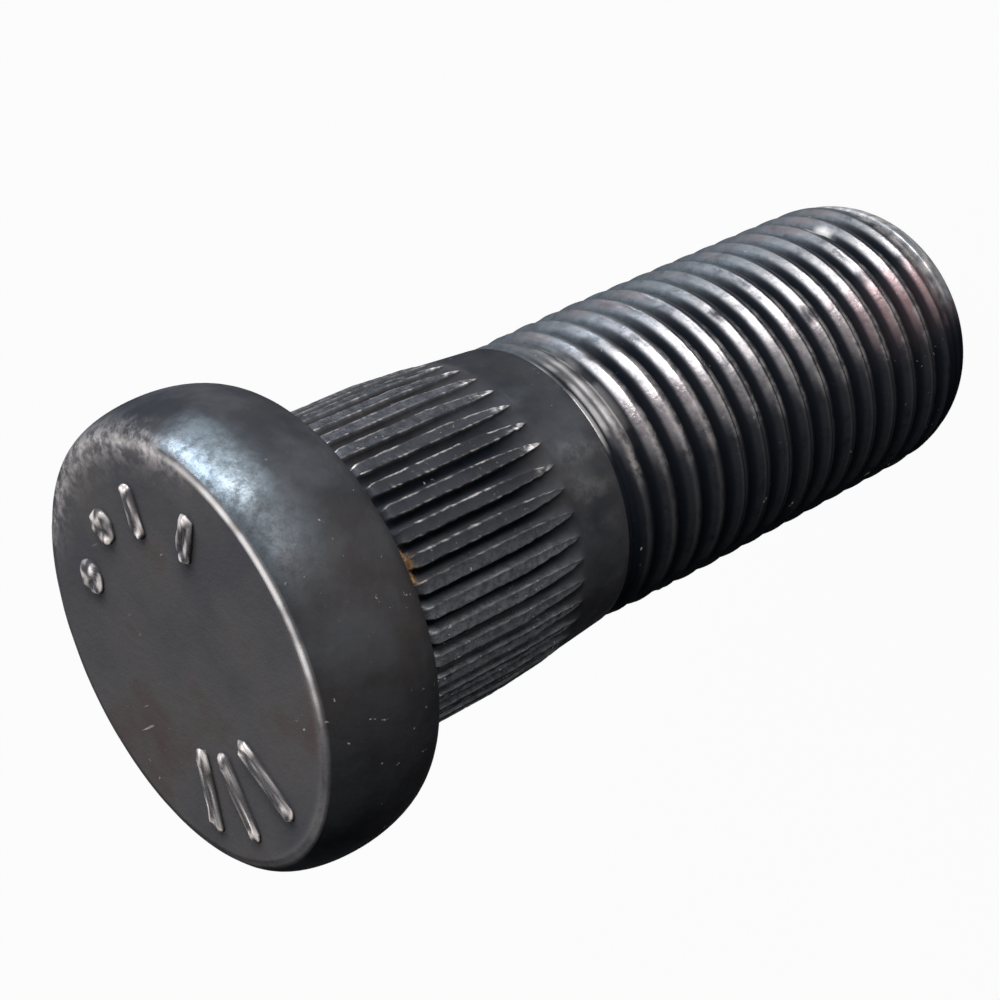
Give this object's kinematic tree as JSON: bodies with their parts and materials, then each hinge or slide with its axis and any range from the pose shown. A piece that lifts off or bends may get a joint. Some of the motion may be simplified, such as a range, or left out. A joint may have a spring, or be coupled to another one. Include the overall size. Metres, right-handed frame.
{
  "type": "wheel stud",
  "caption": "Press-in wheel stud: barrel-shaped head with raised marks on its flat face, straight knurl, plain shoulder, right-hand rolled thread with a rounded end.",
  "frame": {"origin": "centre of the flat end of the thread", "axes": "+Z along the stud's axis, from the thread towards the head"},
  "size_m": [0.0208, 0.0208, 0.0439],
  "materials": {
    "black_steel": "satin black oxide, worn bright on edges and crests"
  },
  "bodies": {
    "root": {"wheel_stud": "black_steel"}
  },
  "joints": []
}
